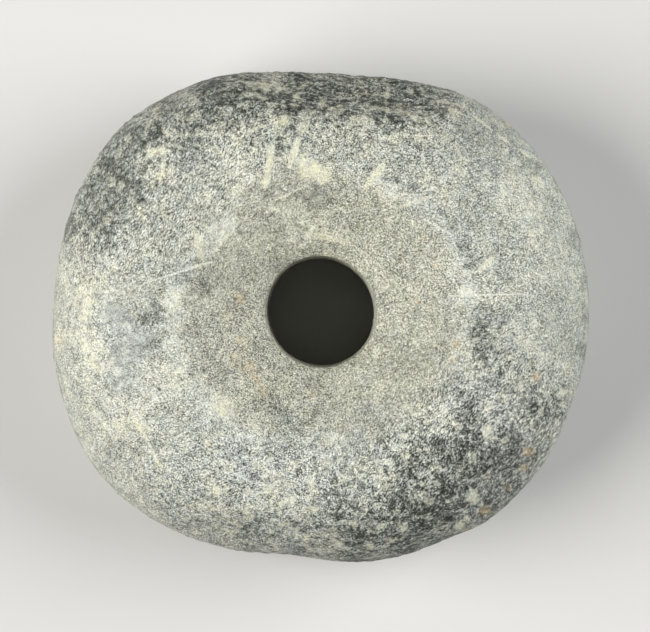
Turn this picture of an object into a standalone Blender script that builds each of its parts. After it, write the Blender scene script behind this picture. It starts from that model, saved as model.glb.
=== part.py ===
import math

import bmesh
import bpy
from mathutils import Vector

# A stone spindle whorl, lying flat with its more worn face up.
# Metres, +Z up. The origin is the middle of the surface that it lies on.
# Bearings are in degrees, counted from +X towards +Y as seen from above.

# Overall sizes
WIDTH = 0.0500
DEPTH = 0.0456
THICKNESS = 0.0195

# The bored hole, a hair narrower inside than at its ends, and worn a little oval.
# At each face its edge rounds over into the dish.
BORE_RADIUS = 0.0050
BORE_OFFSET_X, BORE_OFFSET_Y = 0.00005, 0.00045
BORE_OVAL, BORE_OVAL_BEARING = 0.00006, 139.0
WAIST_HEIGHT_SHARE = 0.48
THROAT_FLARE = 0.00005
MOUTH_FLARE = 0.0006
EDGE_ROUNDING = 0.00135

# Upper face: a worn dish runs up from the mouth of the hole to a low lip. Its curve
# is told in shares of the way out and of the depth.
DISH_DEPTH = 0.00285
DISH_CURVE = ((0.40, 0.56), (0.72, 0.22))
LIP_RADIUS = 0.0138
LIP_UNEVENNESS = 0.0003
LIP_HIGH_BEARING = 205.0

# Underside: a flat worn ring to lie on, round a shallower and narrower dish
FOOT_INNER_RADIUS = 0.0112
FOOT_WIDTH = 0.0062
UNDER_DISH_DEPTH = 0.0017
UNDER_DISH_CURVE = ((0.50, 0.45),)

# Girth: where the sides bulge most, as a share of the thickness, and how full the
# quarters above and below it are: 2 is an ellipse, and more is squarer
GIRTH_HEIGHT_SHARE = 0.47
SHOULDER_FULLNESS = 2.15
UNDER_FULLNESS = 2.5

# Outline: a rounded square, worn uneven. Shares of its mean radius, with bearings.
EGG, EGG_BEARING = 0.0145, 122.5
TRIANGLE, TRIANGLE_BEARING = 0.0036, 13.0
SQUARE, SQUARE_BEARING = 0.0256, 40.4
PENTAGON, PENTAGON_BEARING = 0.0050, -10.0
HEXAGON, HEXAGON_BEARING = 0.0038, -1.0

# Local wear along the outline: bearing, half width in degrees, depth. A negative
# depth stands proud.
EDGE_WEAR = (
    (57.0, 7.0, -0.00021),
    (85.0, 10.0, 0.00015),
    (114.0, 9.0, -0.00012),
    (136.0, 6.0, -0.00012),
    (205.0, 12.0, 0.00015),
    (247.0, 7.0, -0.00005),
    (262.0, 8.0, 0.00036),
    (280.0, 9.0, -0.00019),
    (299.0, 8.0, 0.00017),
    (307.0, 6.0, -0.00013),
    (322.0, 8.0, -0.00012),
    (331.0, 4.0, -0.00007),
)

# Facets ground into the shoulder: bearing, rise of the outward normal in degrees,
# and how deep the flat bites into the rounded form
FACETS = (
    (85.5, 28.0, 0.0010),
    (318.0, 36.0, 0.0006),
    (262.0, 33.0, 0.0005),
    (150.0, 38.0, 0.0005),
    (12.0, 30.0, 0.0004),
)
FACET_SOFTNESS = 0.0003

# Stations along each quarter round, in degrees, and the faces of the solid
QUARTER_TURNS = (22.5, 45.0, 67.5)
STEPS_ROUND = 80
STEPS_PER_SPAN = 3

STONE_COLOUR = (0.42, 0.42, 0.36, 1.0)
STONE_ROUGHNESS = 0.75


def wave(bearing, share, count, crest):
    return share * math.cos(count * math.radians(bearing - crest))


def bump(bearing, middle, half_width):
    away = (bearing - middle + 180.0) % 360.0 - 180.0
    return math.exp(-((away / half_width) ** 2))


def direction(bearing):
    angle = math.radians(bearing)
    return Vector((math.cos(angle), math.sin(angle), 0.0))


def middle_of(points):
    low_x, high_x = min(point.x for point in points), max(point.x for point in points)
    low_y, high_y = min(point.y for point in points), max(point.y for point in points)
    return Vector(((low_x + high_x) / 2.0, (low_y + high_y) / 2.0, 0.0))


def rough_outline(bearing):
    radius = 1.0
    radius += wave(bearing, EGG, 1, EGG_BEARING)
    radius += wave(bearing, TRIANGLE, 3, TRIANGLE_BEARING)
    radius += wave(bearing, SQUARE, 4, SQUARE_BEARING)
    radius += wave(bearing, PENTAGON, 5, PENTAGON_BEARING)
    radius += wave(bearing, HEXAGON, 6, HEXAGON_BEARING)
    mean_radius = (WIDTH + DEPTH) / 4.0
    for middle, half_width, depth in EDGE_WEAR:
        radius -= depth / mean_radius * bump(bearing, middle, half_width)
    return direction(bearing) * radius


def stretched_outlines(bearings):
    """Points of the outline, one for each bearing, stretched to the width and depth."""
    points = [rough_outline(bearing) for bearing in bearings]
    middle = middle_of(points)
    scale_x = WIDTH / 2.0 / max(point.x - middle.x for point in points)
    scale_y = DEPTH / 2.0 / max(point.y - middle.y for point in points)
    return [
        Vector(((point.x - middle.x) * scale_x, (point.y - middle.y) * scale_y, 0.0))
        for point in points
    ]


def quarter(inner, outer, level, girth_level, fullness):
    """Points of a quarter round from the level surface at inner to the girth at outer."""
    points = []
    for turn in QUARTER_TURNS:
        reach = math.sin(math.radians(turn)) ** (2.0 / fullness)
        share = math.cos(math.radians(turn))
        point = inner.lerp(outer, reach)
        point.z = girth_level + (level - girth_level) * share
        points.append(point)
    return points


def section_stations(bearing, outline_point):
    """The closed section at one bearing: up the bore, over the top and back beneath."""
    bore_centre = Vector((BORE_OFFSET_X, BORE_OFFSET_Y, 0.0))
    bore_radius = BORE_RADIUS + wave(bearing, BORE_OVAL, 2, BORE_OVAL_BEARING)
    throat_radius = bore_radius + THROAT_FLARE
    mouth_radius = bore_radius + MOUTH_FLARE
    foot_outer_radius = FOOT_INNER_RADIUS + FOOT_WIDTH
    lean = math.cos(math.radians(bearing - LIP_HIGH_BEARING))
    top = THICKNESS - LIP_UNEVENNESS * (1.0 - lean) / 2.0
    girth = THICKNESS * GIRTH_HEIGHT_SHARE

    def ring(radius, height):
        return bore_centre + direction(bearing) * radius + Vector((0.0, 0.0, height))

    def dish(rim_radius, rim_height, mouth_height, curve):
        return [
            ring(
                mouth_radius + (rim_radius - mouth_radius) * way_out,
                rim_height + (mouth_height - rim_height) * depth,
            )
            for way_out, depth in curve
        ]

    shoulder = quarter(ring(LIP_RADIUS, 0.0), outline_point, top, girth, SHOULDER_FULLNESS)
    under = quarter(ring(foot_outer_radius, 0.0), outline_point, 0.0, girth, UNDER_FULLNESS)
    return [
        ring(bore_radius, THICKNESS * WAIST_HEIGHT_SHARE),
        ring(throat_radius, top - DISH_DEPTH - EDGE_ROUNDING),
        ring(mouth_radius, top - DISH_DEPTH),
        *dish(LIP_RADIUS, top, top - DISH_DEPTH, DISH_CURVE),
        ring(LIP_RADIUS, top),
        *shoulder,
        outline_point + Vector((0.0, 0.0, girth)),
        *reversed(under),
        ring(foot_outer_radius, 0.0),
        ring(FOOT_INNER_RADIUS, 0.0),
        *reversed(dish(FOOT_INNER_RADIUS, 0.0, UNDER_DISH_DEPTH, UNDER_DISH_CURVE)),
        ring(mouth_radius, UNDER_DISH_DEPTH),
        ring(throat_radius, UNDER_DISH_DEPTH + EDGE_ROUNDING),
    ]


def smooth_loop(stations, steps):
    """A closed Catmull-Rom curve through the stations."""
    points = []
    count = len(stations)
    for index in range(count):
        before, start, end, after = (stations[(index + shift) % count] for shift in (-1, 0, 1, 2))
        for step in range(steps):
            t = step / steps
            points.append(
                start
                + 0.5 * t * (end - before)
                + 0.5 * t**2 * (2.0 * before - 5.0 * start + 4.0 * end - after)
                + 0.5 * t**3 * (3.0 * (start - end) + after - before)
            )
    return points


def facet_flats(points):
    """The normal of each facet and its distance from the origin."""
    flats = []
    for bearing, rise, bite in FACETS:
        angle = math.radians(rise)
        normal = direction(bearing) * math.cos(angle) + Vector((0.0, 0.0, math.sin(angle)))
        flats.append((normal, max(point.dot(normal) for point in points) - bite))
    return flats


def grind(point, flats):
    """Takes a point back to the facets and to the surface that the whorl lies on."""
    for normal, distance in flats:
        excess = (point.dot(normal) - distance) / FACET_SOFTNESS
        point = point - normal * FACET_SOFTNESS * math.log1p(math.exp(excess))
    point.z = max(point.z, 0.0)
    return point


def whorl_sections():
    """One closed loop of points for each bearing, centred on the origin."""
    bearings = [360.0 * step / STEPS_ROUND for step in range(STEPS_ROUND)]
    rounded = [
        smooth_loop(section_stations(bearing, outline_point), STEPS_PER_SPAN)
        for bearing, outline_point in zip(bearings, stretched_outlines(bearings))
    ]
    flats = facet_flats([point for section in rounded for point in section])
    ground = [[grind(point, flats) for point in section] for section in rounded]
    middle = middle_of([point for section in ground for point in section])
    return [[point - middle for point in section] for section in ground]


def whorl_mesh():
    sections = whorl_sections()
    shape = bmesh.new()
    rings = [[shape.verts.new(point) for point in section] for section in sections]
    around = len(sections[0])
    for index, ring in enumerate(rings):
        next_ring = rings[(index + 1) % STEPS_ROUND]
        for step in range(around):
            after = (step + 1) % around
            shape.faces.new((ring[step], ring[after], next_ring[after], next_ring[step]))
    bmesh.ops.recalc_face_normals(shape, faces=shape.faces)
    mesh = bpy.data.meshes.new("whorl")
    shape.to_mesh(mesh)
    shape.free()
    mesh.shade_smooth()
    return mesh


def stone_material():
    material = bpy.data.materials.new("stone")
    material.use_nodes = True
    shader = material.node_tree.nodes["Principled BSDF"]
    shader.inputs["Base Color"].default_value = STONE_COLOUR
    shader.inputs["Roughness"].default_value = STONE_ROUGHNESS
    shader.inputs["Metallic"].default_value = 0.0
    return material


def main():
    for old in list(bpy.data.objects):
        bpy.data.objects.remove(old, do_unlink=True)
    whorl = bpy.data.objects.new("whorl", whorl_mesh())
    whorl.data.materials.append(stone_material())
    bpy.context.scene.collection.objects.link(whorl)


main()
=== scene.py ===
import math

import bpy
import numpy as np
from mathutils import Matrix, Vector, noise


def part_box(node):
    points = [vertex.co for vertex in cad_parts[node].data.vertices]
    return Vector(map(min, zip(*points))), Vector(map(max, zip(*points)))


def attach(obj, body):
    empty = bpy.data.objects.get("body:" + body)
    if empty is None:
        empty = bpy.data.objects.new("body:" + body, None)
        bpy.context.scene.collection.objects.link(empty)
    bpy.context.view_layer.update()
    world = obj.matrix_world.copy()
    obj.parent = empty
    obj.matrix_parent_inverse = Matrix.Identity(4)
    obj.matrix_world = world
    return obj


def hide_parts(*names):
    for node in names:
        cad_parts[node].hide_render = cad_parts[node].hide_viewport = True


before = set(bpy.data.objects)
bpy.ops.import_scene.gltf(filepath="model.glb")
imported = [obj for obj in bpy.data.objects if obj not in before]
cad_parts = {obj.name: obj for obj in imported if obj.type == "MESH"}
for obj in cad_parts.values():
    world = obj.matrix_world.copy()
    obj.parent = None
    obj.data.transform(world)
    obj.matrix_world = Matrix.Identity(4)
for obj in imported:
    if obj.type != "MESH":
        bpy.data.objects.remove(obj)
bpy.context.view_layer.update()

whorlLow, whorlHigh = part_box("whorl")
whorlSize = whorlHigh - whorlLow
mm = whorlSize.x / 50.0  # the whorl is 50 mm along X, and every size below is in millimetres

# How the photograph looks down on the whorl. Its pixels are counted from the upper left.
photoView = {
    "wide": 650,
    "high": 632,
    "middleX": 320.6,  # middle of the outline
    "middleY": 316.9,
    "outlineWide": 536.3,
    "lens": 200.0,
    "sensor": 36.0,
    "girthHeight": 9.2,  # height at which the outline is seen
}
pixelSize = whorlSize.x / photoView["outlineWide"]
focalPixels = photoView["wide"] * photoView["lens"] / photoView["sensor"]
cameraAt = Vector((
    (photoView["wide"] / 2 - photoView["middleX"]) * pixelSize,
    (photoView["middleY"] - photoView["high"] / 2) * pixelSize,
    photoView["girthHeight"] * mm + focalPixels * pixelSize,
))

# Form of the stone, in millimetres, degrees and shares
whorlForm = {
    "thickness": whorlSize.z / mm,
    "depth": whorlSize.y / mm,
    "width": whorlSize.x / mm,
    "boreRadius": 5.0,
    "boreX": 0.05,
    "boreY": 0.45,
    "boreOval": 0.06,
    "boreOvalBearing": 139.0,
    "waistShare": 0.48,
    "throatFlare": 0.05,
    "mouthFlare": 0.6,
    "edgeRounding": 1.35,
    "dishDepth": 2.85,
    "dishCurve": ((0.40, 0.56), (0.72, 0.22)),
    "lipRadius": 13.8,
    "lipUnevenness": 0.3,
    "lipHighBearing": 205.0,
    "footInner": 11.2,
    "footWidth": 6.2,
    "underDishDepth": 1.7,
    "underDishCurve": ((0.50, 0.45),),
    "girthShare": 0.47,
    "shoulderFullness": 2.15,
    "underFullness": 2.5,
    "quarterTurns": (22.5, 45.0, 67.5),  # stations along each quarter round
    # share of the radius, count round the outline and bearing of a crest
    "waves": (
        (0.0145, 1, 122.5), (0.0036, 3, 13.0), (0.0256, 4, 40.4),
        (0.0050, 5, -10.0), (0.0038, 6, -1.0),
    ),
    # bearing, half width and depth of the worn places along the outline
    "edgeWear": (
        (57.0, 7.0, -0.21), (85.0, 10.0, 0.15), (114.0, 9.0, -0.12), (136.0, 6.0, -0.12),
        (205.0, 12.0, 0.15), (247.0, 7.0, -0.05), (262.0, 8.0, 0.36), (280.0, 9.0, -0.19),
        (299.0, 8.0, 0.17), (307.0, 6.0, -0.13), (322.0, 8.0, -0.12), (331.0, 4.0, -0.07),
    ),
    # bearing, rise of the normal and bite of the ground facets
    "facets": (
        (85.5, 28.0, 1.0), (318.0, 36.0, 0.6), (262.0, 33.0, 0.5),
        (150.0, 38.0, 0.5), (12.0, 30.0, 0.4),
    ),
    "facetSoftness": 0.14,  # how gently a facet runs into the round
    "stepsRound": 480,
    # steps along each span of the section, from the waist of the bore up and over
    "spanSteps": (8, 11, 13, 12, 10, 20, 17, 17, 16, 12, 9, 8, 7, 12, 7, 7, 8, 8),
}


def smoothStep(low, high, value):
    share = np.clip((value - low) / (high - low), 0.0, 1.0)
    return share * share * (3.0 - 2.0 * share)


def directions(bearings):
    angles = np.radians(bearings)
    return np.stack([np.cos(angles), np.sin(angles), np.zeros_like(angles)], axis=-1)


def outlinePoints(form, bearings):
    radius = np.ones_like(bearings)
    for share, count, crest in form["waves"]:
        radius += share * np.cos(count * np.radians(bearings - crest))
    meanRadius = (form["width"] + form["depth"]) / 4
    for middle, halfWidth, depth in form["edgeWear"]:
        away = (bearings - middle + 180.0) % 360.0 - 180.0
        radius -= depth / meanRadius * np.exp(-((away / halfWidth) ** 2))
    points = directions(bearings) * radius[:, None]
    low, high = points.min(axis=0), points.max(axis=0)
    points -= (low + high) / 2
    points[:, 0] *= form["width"] / (high[0] - low[0])
    points[:, 1] *= form["depth"] / (high[1] - low[1])
    return points


def quarterRound(form, inner, outer, level, girth, fullness):
    points = []
    for turn in form["quarterTurns"]:
        reach = math.sin(math.radians(turn)) ** (2.0 / fullness)
        point = inner + (outer - inner) * reach
        point[:, 2] = girth + (level - girth) * math.cos(math.radians(turn))
        points.append(point)
    return points


def sectionStations(form, bearings):
    outline = outlinePoints(form, bearings)
    centre = np.array([form["boreX"], form["boreY"], 0.0])
    oval = form["boreOval"] * np.cos(2 * np.radians(bearings - form["boreOvalBearing"]))
    bore = form["boreRadius"] + oval
    throat = bore + form["throatFlare"]
    mouth = bore + form["mouthFlare"]
    footOuter = form["footInner"] + form["footWidth"]
    lean = np.cos(np.radians(bearings - form["lipHighBearing"]))
    top = form["thickness"] - form["lipUnevenness"] * (1.0 - lean) / 2
    girth = form["thickness"] * form["girthShare"]

    def ring(radius, height):
        points = centre + directions(bearings) * np.reshape(radius, (-1, 1))
        points[:, 2] = height
        return points

    def dish(rimRadius, rimHeight, mouthHeight, curve):
        return [
            ring(
                mouth + (rimRadius - mouth) * wayOut,
                rimHeight + (mouthHeight - rimHeight) * depth,
            )
            for wayOut, depth in curve
        ]

    shoulder = quarterRound(
        form, ring(form["lipRadius"], 0.0), outline, top, girth, form["shoulderFullness"]
    )
    under = quarterRound(form, ring(footOuter, 0.0), outline, 0.0, girth, form["underFullness"])
    girthRing = outline.copy()
    girthRing[:, 2] = girth
    return [
        ring(bore, form["thickness"] * form["waistShare"]),
        ring(throat, top - form["dishDepth"] - form["edgeRounding"]),
        ring(mouth, top - form["dishDepth"]),
        *dish(form["lipRadius"], top, top - form["dishDepth"], form["dishCurve"]),
        ring(form["lipRadius"], top),
        *shoulder,
        girthRing,
        *reversed(under),
        ring(footOuter, 0.0),
        ring(form["footInner"], 0.0),
        *reversed(dish(form["footInner"], 0.0, form["underDishDepth"], form["underDishCurve"])),
        ring(mouth, form["underDishDepth"]),
        ring(throat, form["underDishDepth"] + form["edgeRounding"]),
    ]


def smoothGrid(stations, spanSteps):
    # one smooth closed curve through the stations at every bearing
    columns = []
    count = len(stations)
    for index, steps in enumerate(spanSteps):
        before, start, end, after = (stations[(index + shift) % count] for shift in (-1, 0, 1, 2))
        for step in range(steps):
            t = step / steps
            columns.append(
                start
                + 0.5 * t * (end - before)
                + 0.5 * t**2 * (2.0 * before - 5.0 * start + 4.0 * end - after)
                + 0.5 * t**3 * (3.0 * (start - end) + after - before)
            )
    return np.stack(columns, axis=1)


def grindFacets(form, grid):
    for bearing, rise, bite in form["facets"]:
        normal = directions(np.array([bearing]))[0] * math.cos(math.radians(rise))
        normal[2] = math.sin(math.radians(rise))
        reach = grid @ normal
        excess = (reach - reach.max() + bite) / form["facetSoftness"]
        grid = grid - normal * (form["facetSoftness"] * np.log1p(np.exp(excess)))[..., None]
    return grid


def gridNormals(grid):
    along = np.roll(grid, -1, axis=1) - np.roll(grid, 1, axis=1)
    around = np.roll(grid, -1, axis=0) - np.roll(grid, 1, axis=0)
    normals = np.cross(around, along)
    normals /= np.linalg.norm(normals, axis=-1, keepdims=True)
    return normals


def noiseField(grid, size, octaves, shift, dimension=0.9, lacunarity=2.1):
    flat = grid.reshape(-1, 3) / size + shift
    values = [
        noise.fractal(Vector(point), dimension, lacunarity, octaves) for point in flat.tolist()
    ]
    return np.array(values).reshape(grid.shape[:2])


def seenPixels(grid):
    scale = focalPixels / (cameraAt.z - grid[..., 2] * mm)
    seenX = photoView["wide"] / 2 + (grid[..., 0] * mm - cameraAt.x) * scale
    seenY = photoView["high"] / 2 - (grid[..., 1] * mm - cameraAt.y) * scale
    return seenX, seenY


print("building the stone's form")
bearings = np.arange(whorlForm["stepsRound"]) * 360.0 / whorlForm["stepsRound"]
stoneGrid = grindFacets(
    whorlForm, smoothGrid(sectionStations(whorlForm, bearings), whorlForm["spanSteps"])
)
girthColumn = sum(whorlForm["spanSteps"][:9])  # the widest place is nine spans from the waist
stoneNormals = gridNormals(stoneGrid)

# Places on the worn face, in the photograph's pixels: x, y, radius and strength.
facePatches = {
    # pale mineral crust, and at (256, 247), (315, 214) and (229, 212) painted light on the upper
    # side of the dish
    "pale": (
        (86, 300, 22, 0.8), (90, 345, 20, 0.8), (60, 342, 9, 0.5), (110, 372, 14, 0.5),
        (150, 398, 24, 0.7), (190, 385, 24, 0.5), (224, 408, 14, 0.8), (138, 425, 14, 0.5),
        (122, 432, 12, 0.6), (100, 400, 18, 0.3), (177, 300, 11, 0.4), (178, 338, 12, 0.45),
        (174, 372, 14, 0.5), (162, 150, 14, 0.6), (165, 174, 10, 0.6), (222, 234, 18, 0.9),
        (176, 240, 7, 0.5), (196, 200, 14, 0.4), (228, 165, 24, 0.3), (316, 172, 15, 0.8),
        (293, 150, 9, 0.4), (368, 150, 12, 0.4), (346, 138, 10, 0.3), (394, 196, 16, 0.6),
        (374, 182, 12, 0.4), (300, 222, 18, 0.4), (272, 232, 12, 0.4), (455, 268, 13, 0.5),
        (462, 292, 14, 0.6), (452, 326, 12, 0.3), (486, 262, 9, 0.5), (520, 200, 28, 0.5),
        (535, 242, 22, 0.5), (560, 280, 16, 0.5), (540, 182, 9, 0.5), (524, 345, 16, 0.6),
        (470, 165, 22, 0.2), (505, 285, 28, 0.3), (410, 408, 14, 0.4), (448, 418, 12, 0.5),
        (332, 448, 26, 0.7), (355, 462, 14, 0.4), (280, 208, 16, 0.4), (115, 415, 24, 0.3),
        (256, 247, 16, 0.3), (315, 214, 18, 0.3), (256, 377, 20, 0.25), (280, 490, 18, 0.6),
        (486, 432, 9, 0.5), (120, 262, 20, 0.3), (250, 192, 20, 0.45), (350, 385, 24, 0.2),
        (505, 182, 26, 0.3), (440, 190, 28, 0.25), (321, 448, 18, 0.4), (221, 352, 14, 0.25),
        (229, 212, 18, 0.3),
    ),
    # bare dark stone; the first three rows, on the facet at the top, are partly painted shade
    "dark": (
        (228, 92, 16, 0.8), (258, 94, 14, 0.7), (290, 100, 20, 0.9), (335, 96, 24, 1.0),
        (381, 100, 24, 1.0), (425, 104, 20, 0.9), (450, 112, 10, 0.4), (345, 116, 14, 0.5),
        (390, 117, 16, 0.6), (430, 118, 12, 0.4), (215, 106, 20, 0.7), (192, 128, 16, 0.7),
        (188, 152, 10, 0.4), (150, 140, 18, 0.4), (116, 176, 20, 0.5), (128, 202, 18, 0.6),
        (96, 222, 18, 0.6), (106, 243, 10, 0.4), (207, 211, 9, 0.4), (245, 120, 12, 0.5),
        (263, 170, 6, 0.4), (330, 155, 10, 0.3), (318, 198, 15, 0.40), (286, 130, 8, 0.4),
        (388, 178, 7, 0.5), (412, 186, 8, 0.4), (439, 210, 3.5, 0.8), (396, 180, 3.5, 0.6),
        (414, 186, 3.5, 0.8), (288, 262, 9, 0.3), (306, 250, 9, 0.3), (332, 249, 8, 0.2),
        (452, 232, 8, 0.5), (463, 248, 10, 0.7), (470, 263, 8, 0.6), (483, 308, 9, 0.6),
        (480, 332, 10, 0.75), (484, 358, 11, 0.6), (500, 382, 14, 0.6), (537, 408, 15, 0.8),
        (470, 420, 18, 0.7), (505, 430, 16, 0.25), (440, 446, 16, 0.6), (472, 460, 24, 0.8),
        (508, 460, 20, 0.8), (450, 484, 20, 0.6), (404, 466, 16, 0.6), (400, 492, 16, 0.3),
        (435, 512, 22, 0.8), (396, 516, 20, 0.6), (362, 532, 22, 0.7), (335, 520, 16, 0.4),
        (300, 538, 22, 0.5), (250, 530, 24, 0.2), (482, 508, 16, 0.6), (520, 440, 16, 0.3),
        (522, 480, 14, 0.5), (153, 318, 11, 0.5), (130, 332, 22, 0.25), (120, 388, 14, 0.2),
        (158, 345, 10, 0.5), (180, 279, 8, 0.4), (75, 362, 7, 0.4), (204, 290, 12, 0.3),
        (262, 402, 16, 0.3), (292, 412, 22, 0.3), (240, 460, 16, 0.3), (285, 452, 12, 0.3),
        (160, 446, 12, 0.2), (250, 520, 16, 0.3), (200, 512, 14, 0.2), (115, 450, 12, 0.3),
        (440, 485, 38, 0.25), (498, 500, 28, 0.25), (400, 525, 30, 0.35), (478, 348, 8, 0.5),
        (490, 335, 20, 0.2), (382, 466, 14, 0.4), (430, 538, 14, 0.4), (470, 402, 24, 0.25),
        (157, 306, 12, 0.3), (330, 492, 24, 0.25), (320, 104, 20, 0.2), (105, 232, 28, 0.25),
        (150, 180, 34, 0.2), (258, 116, 16, 0.3), (300, 120, 12, 0.25),
    ),
    # painted shade along the outline, where the light falls off toward the edge
    "rimShadeAndSpots": (
        (138, 136, 22, 0.6), (112, 162, 20, 0.5), (88, 196, 16, 0.6), (170, 110, 18, 0.7),
        (205, 88, 14, 0.8), (70, 232, 14, 0.6), (250, 76, 12, 0.6), (300, 74, 14, 0.7),
        (350, 76, 14, 0.7), (400, 82, 14, 0.8), (60, 390, 8, 0.3), (76, 432, 9, 0.3),
        (180, 520, 10, 0.4), (250, 545, 14, 0.5), (300, 550, 14, 0.6), (356, 554, 16, 0.8),
        (405, 546, 16, 0.8), (450, 528, 16, 0.6), (498, 500, 16, 0.4), (536, 462, 16, 0.4),
        (556, 415, 12, 0.4), (580, 350, 9, 0.6), (584, 318, 8, 0.5), (585, 285, 9, 0.6),
        (580, 235, 9, 0.5), (533, 165, 10, 0.4), (512, 146, 9, 0.4), (494, 130, 8, 0.4),
        (488, 100, 10, 0.5), (445, 92, 10, 0.5),
    ),
    # coarse flecks of crust and dirt along the ground facet
    "flecked": (
        (245, 92, 24, 0.8), (295, 94, 30, 1.0), (350, 96, 32, 1.0), (405, 102, 28, 1.0),
        (445, 110, 14, 0.6),
    ),
    # greyer and bluer stone
    "cool": (
        (320, 452, 40, 0.9), (250, 470, 40, 0.8), (180, 465, 34, 0.5), (385, 420, 30, 0.5),
        (290, 520, 34, 0.5), (480, 400, 30, 0.6), (500, 455, 30, 0.5), (470, 250, 12, 0.6),
        (395, 185, 12, 0.4), (455, 300, 12, 0.5), (128, 335, 26, 0.5), (220, 232, 16, 0.5),
        (180, 275, 12, 0.5), (190, 160, 16, 0.4), (128, 235, 14, 0.3),
    ),
    # rubbed smooth
    "smooth": (
        (116, 316, 16, 0.8), (138, 342, 20, 1.0), (118, 356, 14, 0.7), (120, 385, 16, 0.8),
        (316, 198, 13, 0.8), (455, 266, 12, 0.4), (150, 395, 18, 0.4), (222, 232, 14, 0.3),
        (316, 172, 12, 0.4),
    ),
    # pecked and pitted
    "rough": (
        (350, 95, 60, 0.9), (250, 95, 50, 0.8), (430, 105, 45, 0.8), (120, 190, 55, 0.5),
        (170, 130, 40, 0.5), (80, 250, 30, 0.4), (475, 460, 70, 1.0), (420, 500, 60, 0.9),
        (340, 520, 60, 0.9), (250, 505, 55, 0.7), (545, 410, 40, 0.6), (490, 345, 28, 0.5),
        (180, 490, 50, 0.5), (300, 465, 45, 0.3), (240, 150, 40, 0.3),
    ),
    # orange and buff stains
    "warm": (
        (434, 267, 5, 0.6), (423, 240, 5, 0.5), (417, 302, 5, 0.7), (457, 343, 5, 0.9),
        (453, 360, 5, 0.8), (452, 382, 4, 0.6), (440, 402, 4, 0.5), (536, 377, 6, 1.1),
        (529, 452, 6, 1.1), (524, 468, 5, 1.0), (485, 510, 6, 1.0), (508, 488, 6, 0.7),
        (452, 372, 4, 0.6), (240, 298, 9, 0.8), (224, 316, 9, 0.6), (240, 342, 12, 0.5),
        (246, 368, 14, 0.6), (232, 358, 5, 0.5), (258, 380, 5, 0.5), (264, 392, 10, 0.5),
        (312, 394, 7, 0.6), (298, 132, 6, 0.3), (293, 152, 8, 0.4), (162, 172, 8, 0.3),
        (60, 342, 9, 0.6), (508, 125, 4, 1.0), (458, 155, 10, 0.3), (512, 216, 5, 0.4),
        (404, 264, 9, 0.3), (322, 238, 8, 0.3), (426, 450, 4, 0.6), (208, 444, 3.5, 0.7),
    ),
    # small creamy spots
    "cream": (
        (152, 154, 6, 1.1), (284, 122, 7, 1.1), (264, 87, 7, 1.0), (296, 97, 6, 0.9),
        (304, 86, 5, 0.9), (322, 105, 6, 0.9), (387, 96, 4.5, 1.2), (388, 111, 3.5, 1.2),
        (414, 118, 6, 1.0), (428, 119, 5, 0.9), (452, 113, 5, 0.8), (345, 84, 6, 0.7),
        (240, 100, 6, 0.7), (198, 243, 7, 0.8), (304, 162, 9, 0.7), (316, 170, 12, 0.75),
        (328, 178, 8, 0.5), (302, 175, 8, 0.4), (293, 150, 7, 0.4), (374, 176, 6, 0.3),
        (537, 182, 6, 0.9), (563, 392, 5, 1.1), (562, 405, 4, 1.0), (522, 474, 8, 0.6),
        (502, 498, 8, 0.6), (486, 432, 7, 1.2), (404, 437, 5, 1.1), (448, 415, 7, 0.5),
        (472, 496, 8, 1.2), (459, 526, 6, 1.2), (403, 528, 5, 1.1), (427, 500, 5, 0.8),
        (312, 509, 5, 1.0), (217, 491, 7, 0.9), (270, 488, 9, 0.9), (291, 501, 8, 1.0),
        (247, 512, 5, 1.0), (208, 442, 4, 0.7), (186, 441, 4, 0.6), (272, 460, 4, 0.6),
        (226, 408, 12, 0.6), (122, 432, 8, 0.5), (86, 345, 14, 0.5), (84, 322, 12, 0.5),
        (96, 366, 11, 0.5), (66, 334, 12, 0.4), (358, 462, 6, 0.5), (335, 526, 4, 0.5),
        (185, 508, 5, 0.5), (88, 296, 14, 0.5),
    ),
}

# Pale strokes worn and scraped across the face, and one painted highlight on the bore's mouth, in
# the photograph's pixels: from, to, half width and strength
wornStrokesAndHighlight = (
    ((272, 148), (265, 187), 3.6, 0.9),
    ((298, 140), (290, 166), 4.0, 0.9),
    ((383, 165), (366, 187), 3.6, 0.9),
    ((430, 197), (400, 207), 2.4, 0.8),
    ((492, 259), (480, 271), 3.4, 0.9),
    ((163, 152), (161, 182), 3.0, 0.5),
    ((196, 232), (201, 256), 3.2, 0.8),
    # painted highlight on the rounded upper edge of the bore's mouth
    ((308, 233), (346, 242), 3.0, 0.55),
    ((129, 408), (147, 441), 2.6, 0.8),
    ((147, 441), (162, 470), 1.8, 0.8),
    ((476, 114), (494, 128), 1.5, 0.9),
    ((501, 134), (510, 140), 1.6, 0.9),
    ((522, 147), (533, 155), 1.6, 0.9),
)

# Fine pale scratches, told the same way
fineScratches = (
    ((449, 296), (520, 294), 1.1, 0.9),
    ((206, 264), (146, 283), 1.0, 0.9),
    ((146, 283), (112, 298), 0.9, 0.5),
    ((212, 262), (188, 268), 1.2, 0.9),
    ((299, 189), (276, 200), 1.0, 0.8),
    ((424, 220), (449, 233), 1.1, 0.7),
    ((449, 233), (458, 252), 1.0, 0.6),
    ((493, 268), (487, 280), 1.1, 0.7),
    ((333, 463), (343, 485), 1.0, 0.8),
    ((235, 475), (256, 483), 1.0, 0.8),
    ((335, 205), (345, 212), 1.5, 0.6),
    ((262, 205), (246, 214), 0.9, 0.5),
    ((388, 204), (372, 210), 0.9, 0.5),
)
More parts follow.
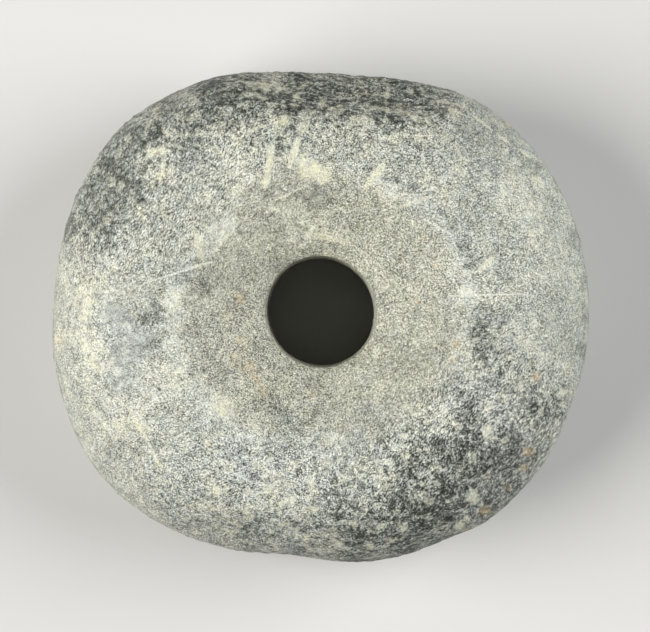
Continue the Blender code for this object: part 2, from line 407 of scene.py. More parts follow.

# Paler worn bands along the lip of the dish, and a painted highlight on the rounded edge of the
# bore's mouth, told the same way
wornBandsAndHighlight = (
    ((173, 296), (175, 338), 11.0, 0.7),
    ((175, 338), (186, 378), 12.0, 0.9),
    ((186, 378), (222, 414), 12.0, 0.9),
    ((222, 414), (262, 440), 9.0, 0.7),
    ((196, 250), (228, 226), 10.0, 0.9),
    ((176, 290), (196, 250), 7.0, 0.5),
    ((345, 172), (372, 176), 7.0, 0.6),
    ((372, 176), (408, 196), 8.0, 0.9),
    ((408, 196), (446, 228), 7.5, 1.0),
    ((446, 228), (468, 268), 7.5, 1.0),
    ((468, 268), (470, 312), 7.5, 0.9),
    ((470, 312), (458, 366), 6.0, 0.5),
    ((458, 366), (444, 408), 6.5, 0.6),
    # these two paint the highlight on the rounded upper edge of the bore's mouth
    ((300, 232), (340, 238), 6.0, 0.6),
    ((262, 246), (300, 232), 5.0, 0.4),
)


def patchField(patches, seenX, seenY):
    field = np.zeros_like(seenX)
    for x, y, radius, strength in patches:
        field += strength * np.exp(-((seenX - x) ** 2 + (seenY - y) ** 2) / radius**2)
    return field


def strokeField(strokes, seenX, seenY, spread):
    field = np.zeros_like(seenX)
    for (startX, startY), (endX, endY), halfWidth, strength in strokes:
        runX, runY = endX - startX, endY - startY
        share = ((seenX - startX) * runX + (seenY - startY) * runY) / (runX**2 + runY**2)
        share = np.clip(share, 0.0, 1.0)
        away = np.hypot(seenX - startX - share * runX, seenY - startY - share * runY)
        field = np.maximum(field, strength * np.exp(-((away / (halfWidth + spread)) ** 2)))
    return field


# Relief, in millimetres
reliefForm = {
    "seed": 41,
    "upperHeights": (2.5, 7.5),  # the worn upper side fades in between these heights
    "faceRough": 0.12,  # least roughness of the face
    "underRough": (0.25, 0.5),  # least roughness of the underside, and how much more in places
    "underRoughSize": 9.0,
    "underRoughEdge": (0.35, 0.6),
    "dishFade": 2.5,
    "dishWear": 0.75,  # how far the dish is worn smooth
    "swellSize": 7.0,
    "swell": 0.10,
    "rippleSize": 1.6,
    "ripple": 0.035,
    "smoothRipple": 0.3,  # share of the ripple that is left on smooth stone
    # a higher profile has a flatter floor, and a higher choice keeps more to the rough places
    "pits": {
        "count": 5200, "radius": (0.22, 0.62), "depth": (0.03, 0.11), "profile": 2.0, "choice": 1.5,
    },
    "chips": {
        "count": 60, "radius": (0.7, 1.8), "depth": (0.05, 0.16), "profile": 3.0, "choice": 3.0,
    },
    "strokeDepth": 0.05,
    "strokeSpread": 1.5,
    "lipRise": 0.10,
    "lipWidth": 1.3,
    "lipWander": 0.4,
    "lipWanderSize": 5.0,
    "boreRing": 0.035,
    "boreRingPitch": 0.9,
    "boreRingWander": 2.5,
    "boreRingWanderSize": 4.0,
    "boreRingFade": (0.2, 0.9),
    "lowSideShade": 0.42,  # painted shade on the low sides of the upper face, where the light falls off
    "lowSideShadeHeights": (9.0, 15.0),
    # spots on the hidden underside: how many, how strong and how wide
    "underSpots": {
        **dict.fromkeys(("pale", "dark", "rimShadeAndSpots", "flecked", "cool", "smooth"), (46, 0.8, 1.0)),
        "warm": (11, 0.6, 0.35),
        "cream": (15, 0.8, 0.35),
    },
    "spotReach": (24.0, 22.0),
    "spotRadius": (1.2, 3.6),
    "spotStrength": (0.3, 1.0),
    "fullest": 1.3,  # where places overlap, they add up to no more than this
}


def carveDents(grid, depthField, chance, dent, draw):
    # round hollows at places drawn by their chance
    rowCount, columnCount = depthField.shape
    weights = (chance / chance.sum()).ravel()
    places = draw.choice(weights.size, size=dent["count"], p=weights)
    for place in places:
        row, column = divmod(int(place), columnCount)
        radius = draw.uniform(*dent["radius"])
        depth = draw.uniform(*dent["depth"])
        centre = grid[row, column]
        stepRound = np.linalg.norm(grid[(row + 1) % rowCount, column] - centre)
        stepAlong = np.linalg.norm(grid[row, (column + 1) % columnCount] - centre)
        reachRound, reachAlong = int(radius / stepRound) + 1, int(radius / stepAlong) + 1
        rows = np.arange(row - reachRound, row + reachRound + 1) % rowCount
        columns = np.arange(column - reachAlong, column + reachAlong + 1) % columnCount
        window = np.ix_(rows, columns)
        away = np.linalg.norm(grid[window] - centre, axis=-1) / radius
        hollow = depth * np.clip(1.0 - away ** dent["profile"], 0.0, 1.0)
        depthField[window] = np.maximum(depthField[window], hollow)


def addRelief(form, grid, seenX, seenY, upper, draw):
    rough = patchField(facePatches["rough"], seenX, seenY)
    rough = np.clip(form["faceRough"] + rough, 0.0, 1.0)
    patchy = 0.5 + 0.5 * noiseField(grid, form["underRoughSize"], octaves=2, shift=31.0)
    leastRough, moreRough = form["underRough"]
    underRough = leastRough + moreRough * smoothStep(*form["underRoughEdge"], patchy)
    rough = rough * upper + underRough * (1.0 - upper)
    boreAway = np.hypot(grid[..., 0] - whorlForm["boreX"], grid[..., 1] - whorlForm["boreY"])
    lipRadius, boreRadius = whorlForm["lipRadius"], whorlForm["boreRadius"]
    dish = 1.0 - smoothStep(lipRadius - form["dishFade"], lipRadius, boreAway)
    rough = rough * (1.0 - form["dishWear"] * dish)

    lift = form["swell"] * noiseField(grid, form["swellSize"], octaves=2, shift=3.0)
    ripple = form["ripple"] * noiseField(grid, form["rippleSize"], octaves=3, shift=11.0)
    lift += ripple * (form["smoothRipple"] + rough)
    wander = form["lipWander"] * noiseField(grid, form["lipWanderSize"], octaves=2, shift=17.0)
    lipAway = (boreAway - lipRadius - wander) / form["lipWidth"]
    lift += form["lipRise"] * np.exp(-(lipAway**2)) * upper

    fadeStart, fadeEnd = form["boreRingFade"]
    inBore = 1.0 - smoothStep(boreRadius + fadeStart, boreRadius + fadeEnd, boreAway)
    wander = noiseField(grid, form["boreRingWanderSize"], octaves=2, shift=23.0)
    turn = 2 * math.pi * grid[..., 2] / form["boreRingPitch"] + form["boreRingWander"] * wander
    lift += form["boreRing"] * np.sin(turn) * inBore

    dents = np.zeros_like(lift)
    spacing = np.linalg.norm(np.roll(grid, -1, axis=0) - grid, axis=-1)
    spacing *= np.linalg.norm(np.roll(grid, -1, axis=1) - grid, axis=-1)
    pits, chips = form["pits"], form["chips"]
    carveDents(grid, dents, spacing * rough ** pits["choice"], pits, draw)
    carveDents(grid, dents, spacing * rough ** chips["choice"] * (1.0 - dish), chips, draw)
    strokes = strokeField(wornStrokesAndHighlight + fineScratches, seenX, seenY, form["strokeSpread"])
    lift -= dents
    lift -= form["strokeDepth"] * strokes * upper
    return lift, rough, dents


print("adding pits, strokes and bore rings")
seenX, seenY = seenPixels(stoneGrid)
heights = stoneGrid[..., 2]
upperSide = smoothStep(*reliefForm["upperHeights"], heights)

# Below the widest place the pixels run on outwards, as far as the surface does
columnsBelow = np.arange(stoneGrid.shape[1]) > girthColumn
pathBelow = np.linalg.norm(np.diff(stoneGrid, axis=1, prepend=stoneGrid[:, :1]), axis=-1)
pathBelow[:, ~columnsBelow] = 0.0
pathBelow = np.cumsum(pathBelow, axis=1) * mm / pixelSize
outwards = directions(bearings)
seenX = np.where(columnsBelow, seenX[:, girthColumn][:, None] + pathBelow * outwards[:, :1], seenX)
seenY = np.where(columnsBelow, seenY[:, girthColumn][:, None] - pathBelow * outwards[:, 1:2], seenY)

stoneDraw = np.random.default_rng(reliefForm["seed"])
lift, roughField, dentField = addRelief(reliefForm, stoneGrid, seenX, seenY, upperSide, stoneDraw)
stoneGrid = stoneGrid + stoneNormals * lift[..., None]
stoneGrid[..., 2] = np.maximum(stoneGrid[..., 2], 0.0)
low, high = stoneGrid.reshape(-1, 3).min(axis=0), stoneGrid.reshape(-1, 3).max(axis=0)
stoneGrid[..., :2] -= (low[:2] + high[:2]) / 2
stoneGrid *= mm


def underSpots(form, count, draw):
    reachX, reachY = form["spotReach"]
    return [
        (
            draw.uniform(-reachX, reachX),
            draw.uniform(-reachY, reachY),
            draw.uniform(*form["spotRadius"]),
            draw.uniform(*form["spotStrength"]),
        )
        for _ in range(count)
    ]


def surfaceFields(form, draw):
    # what the material reads at each point: the places seen above, and others beneath
    fields = {}
    metric = stoneGrid / mm
    for name, (count, share, spread) in form["underSpots"].items():
        hidden = np.zeros_like(seenX)
        for x, y, radius, strength in underSpots(form, count, draw):
            away = (metric[..., 0] - x) ** 2 + (metric[..., 1] - y) ** 2
            hidden += share * strength * np.exp(-away / (radius * spread) ** 2)
        seen = patchField(facePatches[name], seenX, seenY)
        both = seen * upperSide + hidden * (1.0 - upperSide)
        fields[name] = np.clip(both, 0.0, form["fullest"])
    # painted shade: the upper side darkens towards its low edge near the widest place
    lowSideShadeShare = 1.0 - smoothStep(*form["lowSideShadeHeights"], heights)
    fields["rimShadeAndSpots"] += form["lowSideShade"] * lowSideShadeShare * upperSide
    fields["rough"] = roughField
    fields["pit"] = np.clip(dentField / form["pits"]["depth"][1], 0.0, 1.0)
    fields["upper"] = upperSide
    return fields


def gridMesh(name, grid):
    # the grid closes on itself both ways round, and its rows and columns lay out OFBake
    rowCount, columnCount = grid.shape[:2]
    row, column = np.meshgrid(np.arange(rowCount), np.arange(columnCount), indexing="ij")
    cornerSteps = ((0, 0), (1, 0), (1, 1), (0, 1))
    faces = [
        (row + around) % rowCount * columnCount + (column + along) % columnCount
        for around, along in cornerSteps
    ]
    mesh = bpy.data.meshes.new(name)
    faces = np.stack(faces, axis=-1).reshape(-1, 4)
    mesh.from_pydata(grid.reshape(-1, 3).tolist(), [], faces.tolist())
    steps = np.linalg.norm(np.diff(grid, axis=1, append=grid[:, :1]), axis=-1).mean(axis=0)
    path = np.concatenate([[0.0], np.cumsum(steps)]) / steps.sum()
    share = np.arange(rowCount + 1) / rowCount
    corners = [
        np.stack([share[row + around], path[column + along]], axis=-1)
        for around, along in cornerSteps
    ]
    layer = mesh.uv_layers.new(name="OFBake")
    layer.data.foreach_set("uv", np.stack(corners, axis=2).astype(np.float32).ravel())
    mesh.shade_smooth()
    return mesh


stoneMesh = gridMesh("stoneWhorl", stoneGrid)
for fieldName, values in surfaceFields(reliefForm, stoneDraw).items():
    attribute = stoneMesh.attributes.new(fieldName, "FLOAT", "POINT")
    attribute.data.foreach_set("value", values.astype(np.float32).ravel())
stoneWhorl = bpy.data.objects.new("stoneWhorl", stoneMesh)
bpy.context.scene.collection.objects.link(stoneWhorl)
print("stone whorl:", len(stoneMesh.polygons) * 2, "triangles")

# Finish of the stone. Sizes are in millimetres, and tones run from 0, dark, to 1, light.
stoneFinish = {
    # tone and brightness of 255
    "shades": ((0.00, 36), (0.22, 103), (0.50, 178), (0.76, 229), (1.00, 252)),
    "cast": (-2.0, 0.0, -12.8),  # how red, green and blue part from that brightness
    "litGain": 1.2,  # the lit face shows this much brighter than its colour
    # size, shift, detail and roughness of each noise
    "noises": {
        "cloud": (2.6, 0.0, 3, 0.55),
        "mottle": (0.75, 5.0, 3, 0.55),
        "crust": (0.55, 13.0, 3, 0.6),
        "speck": (0.24, 9.0, 2, 0.7),
        "fleck": (0.30, 3.0, 2, 0.5),
        "blob": (1.25, 27.0, 3, 0.5),
        "bit": (0.40, 33.0, 2, 0.5),
        "hue": (1.3, 21.0, 3, 0.6),
    },
    "streak": (0.30, 3, 0.6),  # size, detail and roughness
    "streakRing": 1.6,
    "dish": (14.5, 10.0),  # distances from the bore between which it sets in
    "grainSize": 0.060,
    "sparse": 0.40,  # rare strong grains among the rest
    "sparseSize": 1.6,
    "dashTurn": 56.0,
    "dashStretch": (2.0, 0.85),
    "dashes": (-90.0, 30.0, 0.8, 0.0),  # x times y from and to, and the share of dashes at each
    # what turns from none to full between two values, and in some cases from one share to another
    "ranges": {
        "crust": (0.38, 0.62),
        "fleck": (0.58, 0.70),
        "blob": (0.54, 0.66),
        "bit": (0.57, 0.65),
        "pitted": (0.1, 0.8, 0.25, 1.0),
        "crusted": (0.1, 0.9, 0.12, 1.0),
        "brokenPale": (0.10, 1.0),
        "brokenDark": (0.02, 1.15),
        "darkGrain": (0.0, 1.0, 1.0, 0.78),
        "rubbed": (0.1, 0.9),
        "cream": (0.12, 1.0),
        "warm": (0.25, 0.85),
    },
    # how strongly each works on smooth stone, and how much more on rough
    "spreads": {
        "cloud": (0.34, 0.16),
        "mottle": (0.24, 0.30),
        "crust": (0.04, 0.26),
        "grain": (0.95, 0.62),
    },
    "flecked": 0.80,  # how much more again on the ground facet
    # how strongly the painted rim shade darkens the stone
    "rimShadeGain": 0.8,
    "patchy": (1.7, 0.7),  # how far mottle and cloud break up the pale and dark places
    "darkPatchy": -0.60,
    # how far mottle, or specks, break up the edges of the others
    "breakUps": {
        "rubbed": 0.6, "warm": 1.2, "cream": 0.6, "creamSpeck": 1.0,
        "bands": 2.0, "strokes": 1.6, "scratches": 2.4,
    },
    # width of a stroke's ends, how much and how soon it widens, and how soft its edge is
    "strokeShape": {"narrow": 0.72, "widening": 0.35, "taper": 1.6, "softness": 0.45},
    "grainLeft": {"cream": 0.45, "bands": 0.85, "pale": 0.85, "rubbed": 0.45},  # on each of them
    "baseTone": 0.482,
    "toneGains": {
        "speck": 0.05, "streak": 0.16, "dish": -0.035, "pale": 0.17, "dark": -0.38,
        "bands": 0.09, "fleck": -0.30, "pit": -0.10,
    },
    # lies over the tone
    "blobCover": 0.60,
    "bitCover": 0.62,
    "creamCover": 0.84,
    "creamTone": 0.76,
    "creamGrain": 0.62,
    # from a cool tint at 0 to a creamy one at 1
    "coolTint": (0.962, 1.0, 1.088),
    "creamTint": (1.022, 1.0, 0.932),
    "baseLean": 0.53,
    "middleTone": 0.30,
    "leans": {
        "hue": 1.8, "cloud": 0.9, "pale": 0.30, "dark": -0.40, "dish": 0.42, "bands": -0.15,
        "blob": 0.75, "bit": 0.40, "crusted": -0.34, "rubbed": -0.30, "tone": 0.8,
        "cool": -0.55, "flecked": 0.35,
    },
    "warmColour": (0.60, 0.42, 0.18),
    "warmMix": 0.6,  # how much of the stone's own colour stays in it
    "warmCover": 0.75,
    "strokeTint": (1.045, 1.01, 0.90),
    "roughness": (0.52, 0.22),  # smooth stone, and how much more on rough
    "mottleRoughness": 0.18,
    "creamRoughness": 0.12,
    "mostRoughness": 0.95,
    "ior": 1.5,
    "specular": 0.35,
    "bumpStrength": 0.8,
    "bumpDistance": 0.05,
    "speckHeight": (0.35, 0.9),  # on smooth stone, and how much more on rough
    "mottleHeight": (0.4, 1.6),
    "grainHeight": 0.25,
    "fleckHeight": -1.0,
    "streakHeight": 0.6,
}


def addNode(tree, kind, **settings):
    node = tree.nodes.new(kind)
    for key, value in settings.items():
        setattr(node, key, value)
    return node


def feed(tree, socket, value):
    if isinstance(value, bpy.types.NodeSocket):
        tree.links.new(value, socket)
    else:
        socket.default_value = value


def calc(tree, operation, *values, clamp=False):
    node = addNode(tree, "ShaderNodeMath", operation=operation, use_clamp=clamp)
    for socket, value in zip(node.inputs, values):
        feed(tree, socket, value)
    return node.outputs[0]


def chain(tree, operation, values):
    result = values[0]
    for value in values[1:]:
        result = calc(tree, operation, result, value)
    return result


def total(tree, *values):
    return chain(tree, "ADD", values)


def product(tree, *values):
    return chain(tree, "MULTIPLY", values)


def highest(tree, *values):
    return chain(tree, "MAXIMUM", values)


def centred(tree, value, amount):
    return product(tree, calc(tree, "SUBTRACT", value, 0.5), amount)


def risen(tree, share, amounts):
    # the first amount, and the second one more where the share is full
    plain, more = amounts
    return calc(tree, "MULTIPLY_ADD", share, more, plain)


def ramp(tree, value, low, high, toLow=0.0, toHigh=1.0):
    node = addNode(tree, "ShaderNodeMapRange", interpolation_type="SMOOTHSTEP")
    for socket, number in zip(node.inputs, (value, low, high, toLow, toHigh)):
        feed(tree, socket, number)
    return node.outputs[0]


def vectorCalc(tree, operation, first, second=None):
    node = addNode(tree, "ShaderNodeVectorMath", operation=operation)
    feed(tree, node.inputs[0], first)
    if operation == "SCALE":
        feed(tree, node.inputs["Scale"], second)
    elif second is not None:
        feed(tree, node.inputs[1], second)
    scalar = operation in ("LENGTH", "DISTANCE", "DOT_PRODUCT")
    return node.outputs["Value" if scalar else "Vector"]


def shifted(tree, place, offset):
    # far enough along that one noise doesn't repeat another
    return vectorCalc(tree, "ADD", place, (offset * mm, -offset * mm, 0.7 * offset * mm))


def mixColour(tree, share, first, second, blend="MIX"):
    node = addNode(tree, "ShaderNodeMix", data_type="RGBA", blend_type=blend)
    feed(tree, node.inputs["Factor"], share)
    for socket, value in zip(node.inputs[6:8], (first, second)):
        feed(tree, socket, value if isinstance(value, bpy.types.NodeSocket) else (*value, 1.0))
    return node.outputs[2]


def splitUp(tree, kind, value):
    node = addNode(tree, kind)
    feed(tree, node.inputs[0], value)
    return node.outputs


def field(tree, name):
    return addNode(tree, "ShaderNodeAttribute", attribute_name=name).outputs["Fac"]


def noiseAt(tree, place, size, detail, roughness):
    node = addNode(tree, "ShaderNodeTexNoise")
    feed(tree, node.inputs["Vector"], place)
    node.inputs["Scale"].default_value = 1.0 / (size * mm)
    node.inputs["Detail"].default_value = detail
    node.inputs["Roughness"].default_value = roughness
    return node.outputs["Fac"]


def cellsAt(tree, place, size):
    node = addNode(tree, "ShaderNodeTexVoronoi")
    feed(tree, node.inputs["Vector"], place)
    node.inputs["Scale"].default_value = 1.0 / (size * mm)
    return node.outputs["Color"]


def grainAt(tree, place, finish):
    # sharp grain, drawn out into slanting dashes towards the upper left and the lower right
    size = finish["grainSize"]
    even = splitUp(tree, "ShaderNodeSeparateColor", cellsAt(tree, place, size))
    turned = addNode(tree, "ShaderNodeMapping", vector_type="TEXTURE")
    feed(tree, turned.inputs["Vector"], place)
    turned.inputs["Rotation"].default_value = (0.0, 0.0, math.radians(finish["dashTurn"]))
    turned.inputs["Scale"].default_value = (*finish["dashStretch"], 1.0)
    dashes = splitUp(tree, "ShaderNodeSeparateColor", cellsAt(tree, turned.outputs[0], size))
    axes = splitUp(tree, "ShaderNodeSeparateXYZ", place)
    low, high, most, least = finish["dashes"]
    share = ramp(tree, product(tree, axes[0], axes[1]), low * mm**2, high * mm**2, most, least)
    mixed = addNode(tree, "ShaderNodeMix", data_type="FLOAT")
    feed(tree, mixed.inputs[0], share)
    feed(tree, mixed.inputs[2], even[0])
    feed(tree, mixed.inputs[3], dashes[0])
    sparse = cellsAt(tree, shifted(tree, place, 17.0), size * finish["sparseSize"])
    sparse = centred(tree, sparse, 2.0)
    sparse = product(tree, sparse, sparse, sparse)
    return calc(tree, "MULTIPLY_ADD", sparse, finish["sparse"], mixed.outputs[0]), even[1]


def ringPlace(tree, place, ringRadius):
    # a spot on a small ring and its distance from the bore, so that streaks run round the bore
    fromBore = vectorCalc(
        tree, "ADD", place, (-whorlForm["boreX"] * mm, -whorlForm["boreY"] * mm, 0.0)
    )
    flat = vectorCalc(tree, "MULTIPLY", fromBore, (1.0, 1.0, 0.0))
    away = vectorCalc(tree, "LENGTH", flat)
    unit = splitUp(tree, "ShaderNodeSeparateXYZ", vectorCalc(tree, "NORMALIZE", flat))
    ring = addNode(tree, "ShaderNodeCombineXYZ")
    feed(tree, ring.inputs[0], product(tree, unit[0], ringRadius * mm))
    feed(tree, ring.inputs[1], product(tree, unit[1], ringRadius * mm))
    feed(tree, ring.inputs[2], away)
    return ring.outputs[0], away


def placeOfPixel(pixelX, pixelY, height):
    scale = focalPixels / (cameraAt.z - height * mm)
    x = cameraAt.x + (pixelX - photoView["wide"] / 2) / scale
    y = cameraAt.y - (pixelY - photoView["high"] / 2) / scale
    return Vector((x, y, 0.0))


def strokeGroup(shape):
    # mask of one stroke between two places, narrower at its ends and broken up by the grain
    group = bpy.data.node_groups.new("strokeMask", "ShaderNodeTree")
    for name in ("Place", "Start", "Run"):
        group.interface.new_socket(name, in_out="INPUT", socket_type="NodeSocketVector")
    for name in ("Half Width", "Break Up"):
        group.interface.new_socket(name, in_out="INPUT", socket_type="NodeSocketFloat")
    group.interface.new_socket("Mask", in_out="OUTPUT", socket_type="NodeSocketFloat")
    inside = addNode(group, "NodeGroupInput")
    outside = addNode(group, "NodeGroupOutput")
    place, start, run = (inside.outputs[name] for name in ("Place", "Start", "Run"))
    offset = vectorCalc(group, "SUBTRACT", place, start)
    along = vectorCalc(group, "DOT_PRODUCT", offset, run)
    square = vectorCalc(group, "DOT_PRODUCT", run, run)
    share = calc(group, "DIVIDE", along, square, clamp=True)
    away = vectorCalc(group, "DISTANCE", offset, vectorCalc(group, "SCALE", run, share))
    ratio = calc(group, "DIVIDE", away, inside.outputs["Half Width"])
    fromEnd = calc(group, "PINGPONG", share, 0.5)
    taper = calc(group, "MULTIPLY", fromEnd, shape["taper"], clamp=True)
    width = risen(group, taper, (shape["narrow"], shape["widening"]))
    edge = total(group, inside.outputs["Break Up"], width)
    past = calc(group, "SUBTRACT", ratio, edge)
    softness = shape["softness"]
    feed(group, outside.inputs[0], ramp(group, past, -softness, softness, 1.0, 0.0))
    return group


def strokeMasks(tree, group, place, strokes, breakUp):
    flat = vectorCalc(tree, "MULTIPLY", place, (1.0, 1.0, 0.0))
    height = whorlForm["thickness"] - 1.0  # about where the strokes lie
    result = 0.0
    for startPixel, endPixel, halfWidth, strength in strokes:
        start = placeOfPixel(*startPixel, height)
        node = addNode(tree, "ShaderNodeGroup", node_tree=group)
        feed(tree, node.inputs["Place"], flat)
        feed(tree, node.inputs["Start"], start)
        feed(tree, node.inputs["Run"], placeOfPixel(*endPixel, height) - start)
        feed(tree, node.inputs["Half Width"], halfWidth * pixelSize)
        feed(tree, node.inputs["Break Up"], breakUp)
        result = highest(tree, product(tree, node.outputs[0], strength), result)
    return result


def shadeColour(finish, brightness):
    # the linear colour that a brightness of the photograph needs under this light
    darkest = 12.0
    levels = [max(brightness + cast, darkest) / 255.0 for cast in finish["cast"]]
    return [((level + 0.055) / 1.055) ** 2.4 / finish["litGain"] for level in levels]


def shadeRamp(tree, finish, tone):
    node = addNode(tree, "ShaderNodeValToRGB")
    elements = node.color_ramp.elements
    for index, (position, brightness) in enumerate(finish["shades"]):
        element = elements[index] if index < 2 else elements.new(position)
        element.position = position
        element.color = (*shadeColour(finish, brightness), 1.0)
    feed(tree, node.inputs[0], tone)
    return node.outputs[0]


def stoneMaterial(finish):
    material = bpy.data.materials.new("greyStone")
    material.use_nodes = True
    tree = material.node_tree
    shader = tree.nodes["Principled BSDF"]
    place = addNode(tree, "ShaderNodeTexCoord").outputs["Object"]

    def ranged(name, value):
        return ramp(tree, value, *finish["ranges"][name])

    def brokenBy(value, name):
        return centred(tree, value, finish["breakUps"][name])

    rough, pale, dark, rimShadeAndSpots, warm, cream, smooth, cool, pit, upper = (
        field(tree, name)
        for name in (
            "rough", "pale", "dark", "rimShadeAndSpots", "warm", "cream", "smooth", "cool", "pit", "upper",
        )
    )
    noises = {
        name: noiseAt(tree, shifted(tree, place, shift), size, detail, roughness)
        for name, (size, shift, detail, roughness) in finish["noises"].items()
    }
    cloud, mottle, speck = noises["cloud"], noises["mottle"], noises["speck"]
    grain, grainOther = grainAt(tree, place, finish)
    ring, boreAway = ringPlace(tree, place, finish["streakRing"])
    streak = noiseAt(tree, ring, *finish["streak"])
    dishEnd, dishStart = finish["dish"]
    inDish = ramp(tree, boreAway, dishStart * mm, dishEnd * mm, 1.0, 0.0)

    # crust on the high spots and dark pits between them, both strongest where it is rough
    crusted = ranged("crusted", rough)
    crust = ranged("crust", noises["crust"])
    fleck = product(tree, ranged("fleck", noises["fleck"]), ranged("pitted", rough))
    blob = product(tree, ranged("blob", noises["blob"]), crusted)
    bit = product(tree, ranged("bit", noises["bit"]), crusted)

    # the places on the face, broken up at their edges
    # painted shade along the rim joins the dark places
    dark = total(tree, dark, product(tree, rimShadeAndSpots, finish["rimShadeGain"]))
    byMottle, byCloud = finish["patchy"]
    patchy = total(tree, centred(tree, mottle, byMottle), centred(tree, cloud, byCloud))
    darkPatchy = calc(tree, "MULTIPLY_ADD", patchy, finish["darkPatchy"], dark)
    brokenPale = ranged("brokenPale", total(tree, pale, patchy))
    brokenDark = ranged("brokenDark", darkPatchy)
    rubbed = ranged("rubbed", total(tree, smooth, brokenBy(mottle, "rubbed")))
    warmMask = ranged("warm", total(tree, warm, brokenBy(mottle, "warm")))
    creamBreakUp = (brokenBy(mottle, "cream"), brokenBy(speck, "creamSpeck"))
    creamMask = ranged("cream", total(tree, cream, *creamBreakUp))
    group = strokeGroup(finish["strokeShape"])
    bands, strokes, scratches = (
        product(tree, strokeMasks(tree, group, place, rows, breakUp), upper)
        for rows, breakUp in (
            (wornBandsAndHighlight, brokenBy(mottle, "bands")),
            (wornStrokesAndHighlight, brokenBy(speck, "strokes")),
            (fineScratches, brokenBy(speck, "scratches")),
        )
    )
    creamMask = highest(tree, creamMask, strokes)

    spreads = {name: risen(tree, rough, pair) for name, pair in finish["spreads"].items()}
    flecked = product(tree, field(tree, "flecked"), upper)
    flecked = calc(tree, "MULTIPLY_ADD", flecked, finish["flecked"], 1.0)
    for name in ("mottle", "crust"):
        spreads[name] = product(tree, spreads[name], flecked)

    parts = {
        "speck": centred(tree, speck, 1.0),
        "streak": product(tree, centred(tree, streak, 1.0), inDish),
        "hue": centred(tree, noises["hue"], 1.0),
        "cloud": centred(tree, cloud, 1.0),
        "dish": inDish,
        "pale": brokenPale,
        "dark": brokenDark,
        "bands": bands,
        "cream": creamMask,
        "rubbed": rubbed,
        "crusted": crusted,
        "fleck": fleck,
        "blob": blob,
        "bit": bit,
        "pit": pit,
        "cool": cool,
        "flecked": calc(tree, "SUBTRACT", flecked, 1.0),
    }

    def gained(amounts):
        return (product(tree, parts[name], amount) for name, amount in amounts.items())

    calmed = (
        ramp(tree, parts[name], 0.0, 1.0, 1.0, left) for name, left in finish["grainLeft"].items()
    )
    grainSpread = product(tree, spreads["grain"], ranged("darkGrain", brokenDark), *calmed)
    tone = total(
        tree,
        finish["baseTone"],
        centred(tree, cloud, spreads["cloud"]),
        centred(tree, mottle, spreads["mottle"]),
        centred(tree, crust, spreads["crust"]),
        centred(tree, grain, grainSpread),
        *gained(finish["toneGains"]),
    )

    # crust, strokes and cream spots stand out most where the stone beneath is dark
    overlaid = highest(
        tree,
        product(tree, blob, finish["blobCover"]),
        product(tree, bit, finish["bitCover"]),
        product(tree, creamMask, finish["creamCover"]),
        scratches,
    )
    creamTone = total(tree, finish["creamTone"], centred(tree, grain, finish["creamGrain"]))
    tone = calc(tree, "MULTIPLY_ADD", calc(tree, "SUBTRACT", creamTone, tone), overlaid, tone)
    colour = shadeRamp(tree, finish, tone)

    # paler patches lean to cream and darker ones to a cool grey
    aboveMiddle = calc(tree, "SUBTRACT", tone, finish["middleTone"])
    parts["tone"] = product(tree, aboveMiddle, crusted)
    lean = total(tree, finish["baseLean"], *gained(finish["leans"]))
    lean = calc(tree, "ADD", lean, 0.0, clamp=True)
    tint = mixColour(tree, lean, finish["coolTint"], finish["creamTint"])
    colour = mixColour(tree, 1.0, colour, tint, "MULTIPLY")
    stain = mixColour(tree, finish["warmMix"], finish["warmColour"], colour)
    colour = mixColour(tree, product(tree, warmMask, finish["warmCover"]), colour, stain)
    creamy = mixColour(tree, 1.0, colour, finish["strokeTint"], "MULTIPLY")
    colour = mixColour(tree, creamMask, colour, creamy)
    feed(tree, shader.inputs["Base Color"], colour)

    roughness = total(
        tree,
        risen(tree, rough, finish["roughness"]),
        centred(tree, mottle, finish["mottleRoughness"]),
        product(tree, creamMask, finish["creamRoughness"]),
    )
    roughness = calc(tree, "MINIMUM", roughness, finish["mostRoughness"])
    feed(tree, shader.inputs["Roughness"], roughness)
    shader.inputs["IOR"].default_value = finish["ior"]
    shader.inputs["Specular IOR Level"].default_value = finish["specular"]

    height = total(
        tree,
        centred(tree, speck, risen(tree, rough, finish["speckHeight"])),
        centred(tree, grainOther, finish["grainHeight"]),
        centred(tree, mottle, risen(tree, rough, finish["mottleHeight"])),
        product(tree, fleck, finish["fleckHeight"]),
        product(tree, centred(tree, streak, finish["streakHeight"]), inDish),
    )
    bump = addNode(tree, "ShaderNodeBump")
    bump.inputs["Strength"].default_value = finish["bumpStrength"]
    bump.inputs["Distance"].default_value = finish["bumpDistance"] * mm
    feed(tree, bump.inputs["Height"], height)
    feed(tree, shader.inputs["Normal"], bump.outputs[0])
    return material


print("mixing the stone's finish")
stoneMesh.materials.append(stoneMaterial(stoneFinish))
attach(stoneWhorl, "root")
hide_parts("whorl")

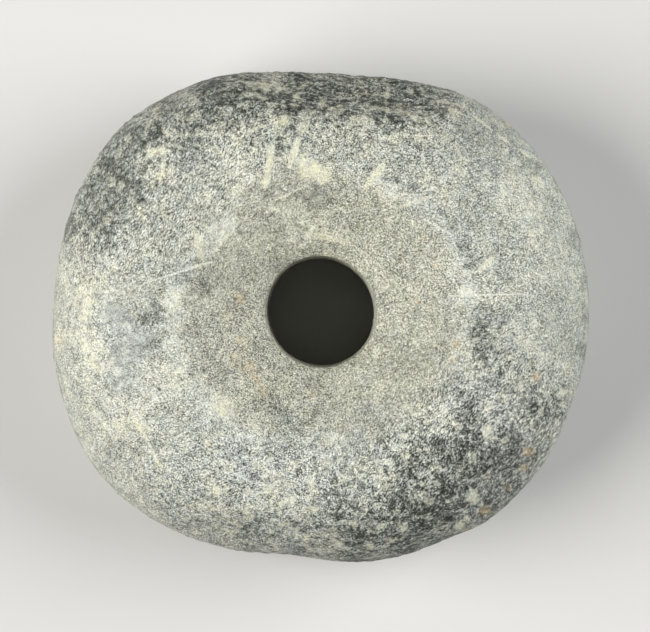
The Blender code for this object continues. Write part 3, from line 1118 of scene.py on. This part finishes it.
# Floor, light and camera, in metres
studio = {
    "floorSize": 3.0,
    "floorColour": (0.60, 0.595, 0.58),
    "floorRoughness": 0.9,
    "floorSpecular": 0.2,
    "worldColour": (1.0, 0.99, 0.97),
    "worldStrength": 0.07,
    # place, size, power and colour
    "lights": {
        "keyLight": ((-0.44, -0.05, 0.34), 0.46, 4.5, (1.0, 0.99, 0.97)),
        "fillLight": ((0.44, 0.10, 0.32), 0.46, 3.3, (0.98, 0.99, 1.0)),
    },
    "nearest": 0.01,  # how near and how far the camera sees
    "farthest": 10.0,
}


def addFloor():
    mesh = bpy.data.meshes.new("floor")
    half = studio["floorSize"] / 2
    corners = [(-half, -half, 0.0), (half, -half, 0.0), (half, half, 0.0), (-half, half, 0.0)]
    mesh.from_pydata(corners, [], [(0, 1, 2, 3)])
    material = bpy.data.materials.new("paleFloor")
    material.use_nodes = True
    shader = material.node_tree.nodes["Principled BSDF"]
    shader.inputs["Base Color"].default_value = (*studio["floorColour"], 1.0)
    shader.inputs["Roughness"].default_value = studio["floorRoughness"]
    shader.inputs["Specular IOR Level"].default_value = studio["floorSpecular"]
    mesh.materials.append(material)
    floor = bpy.data.objects.new("floor", mesh)
    bpy.context.scene.collection.objects.link(floor)


def addLight(name, at, size, power, colour):
    data = bpy.data.lights.new(name, "AREA")
    data.shape = "DISK"
    data.size = size
    data.energy = power
    data.color = colour
    light = bpy.data.objects.new(name, data)
    light.location = at
    light.rotation_mode = "QUATERNION"
    light.rotation_quaternion = (-Vector(at)).to_track_quat("-Z", "Y")  # towards the whorl
    bpy.context.scene.collection.objects.link(light)


def addCamera():
    data = bpy.data.cameras.new("camera")
    data.lens = photoView["lens"]
    data.sensor_width = photoView["sensor"]
    data.clip_start = studio["nearest"]
    data.clip_end = studio["farthest"]
    camera = bpy.data.objects.new("camera", data)  # looks straight down as it is made
    camera.location = cameraAt
    bpy.context.scene.collection.objects.link(camera)
    bpy.context.scene.camera = camera


print("setting floor, light and camera")
addFloor()
for lightName, settings in studio["lights"].items():
    addLight(lightName, *settings)
addCamera()
world = bpy.data.worlds.new("studio")
world.use_nodes = True
backdrop = world.node_tree.nodes["Background"]
backdrop.inputs["Color"].default_value = (*studio["worldColour"], 1.0)
backdrop.inputs["Strength"].default_value = studio["worldStrength"]
bpy.context.scene.world = world
bpy.context.scene.view_settings.view_transform = "Standard"
